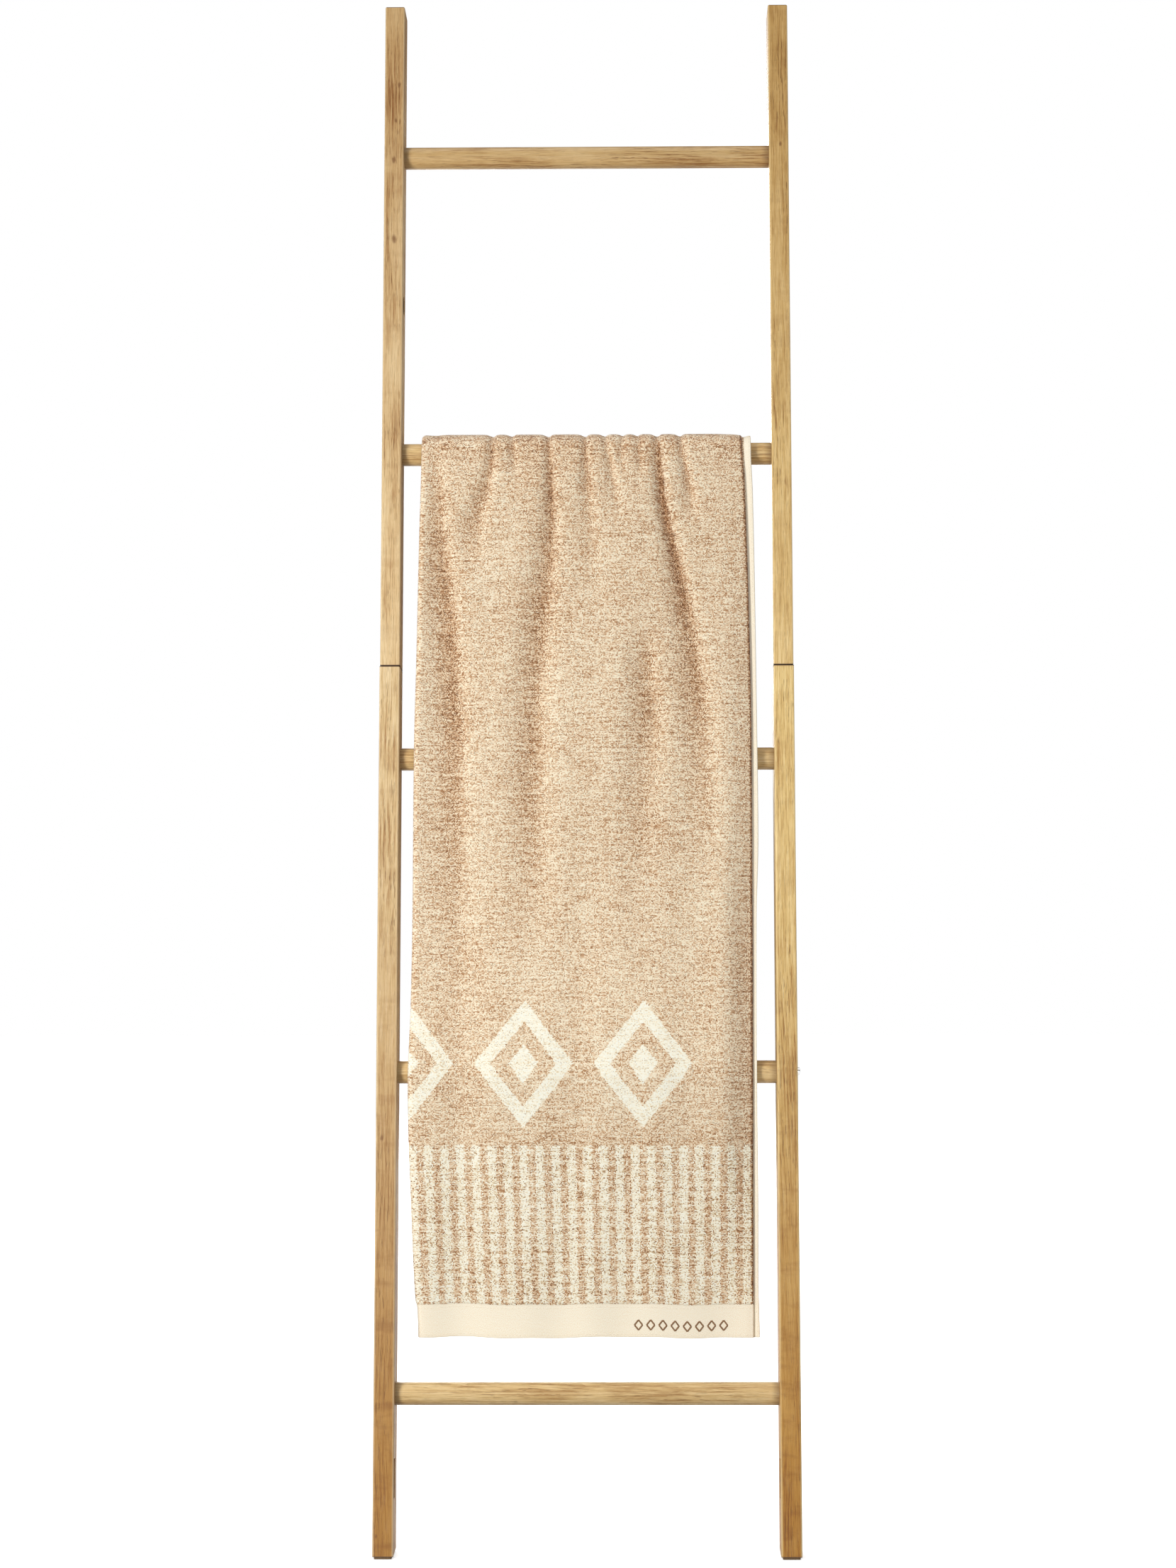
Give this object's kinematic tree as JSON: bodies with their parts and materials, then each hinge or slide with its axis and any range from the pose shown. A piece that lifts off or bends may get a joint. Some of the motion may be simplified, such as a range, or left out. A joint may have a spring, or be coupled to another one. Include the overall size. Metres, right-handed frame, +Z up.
{
  "type": "towel ladder with towel",
  "caption": "Leaning oak towel ladder in two bolted sections with round rungs, and a long terry sauna towel folded lengthwise over one rung.",
  "frame": {"origin": "on the floor under the middle of the whole object's box", "axes": "+Z up, +Y back towards the wall, +X to the right seen from the front"},
  "size_m": [0.5051, 0.2811, 1.872],
  "materials": {
    "oak_upper": "oiled, straight grain",
    "oak_lower": "oiled, paler board",
    "oak_rung": "oiled, turned",
    "beech": "raw, fluted dowel",
    "zinc_steel": "zinc plated",
    "cam_metal": "die cast",
    "pad_rubber": "matte",
    "terry": "looped cotton terry with a flat woven end border"
  },
  "bodies": {
    "ladder": {"stile_upper_left": "oak_upper", "stile_upper_right": "oak_upper", "stile_lower_left": "oak_lower", "stile_lower_right": "oak_lower", "rung_1": "oak_rung", "rung_2": "oak_rung", "rung_3": "oak_rung", "rung_4": "oak_rung", "rung_5": "oak_rung", "rung_screws_left": "zinc_steel", "rung_screws_right": "zinc_steel", "loose_screw": "zinc_steel", "joint_dowels_left": "beech", "joint_dowels_right": "beech", "joint_bolt_left": "zinc_steel", "joint_bolt_right": "zinc_steel", "joint_cam_left": "cam_metal", "joint_cam_right": "cam_metal", "foot_pad_left": "pad_rubber", "foot_pad_right": "pad_rubber"},
    "towel": {"towel_saddle": "terry"},
    "front_fall": {"towel_front_fall": "terry"},
    "back_fall": {"towel_back_fall": "terry"}
  },
  "joints": [
    {"name": "towel_slide", "type": "slide", "parent": "ladder", "child": "towel", "axis": [1, 0, 0], "range_m": [-0.01, 0.01]},
    {"name": "front_fall_swing", "type": "hinge", "parent": "towel", "child": "front_fall", "pos_m": [0, 0.03082, 1.31007], "axis": [-1, 0, 0], "range_deg": [0, 30]},
    {"name": "back_fall_swing", "type": "hinge", "parent": "towel", "child": "back_fall", "pos_m": [0, 0.06827, 1.30768], "axis": [-1, 0, 0], "range_deg": [-4, 6]}
  ]
}
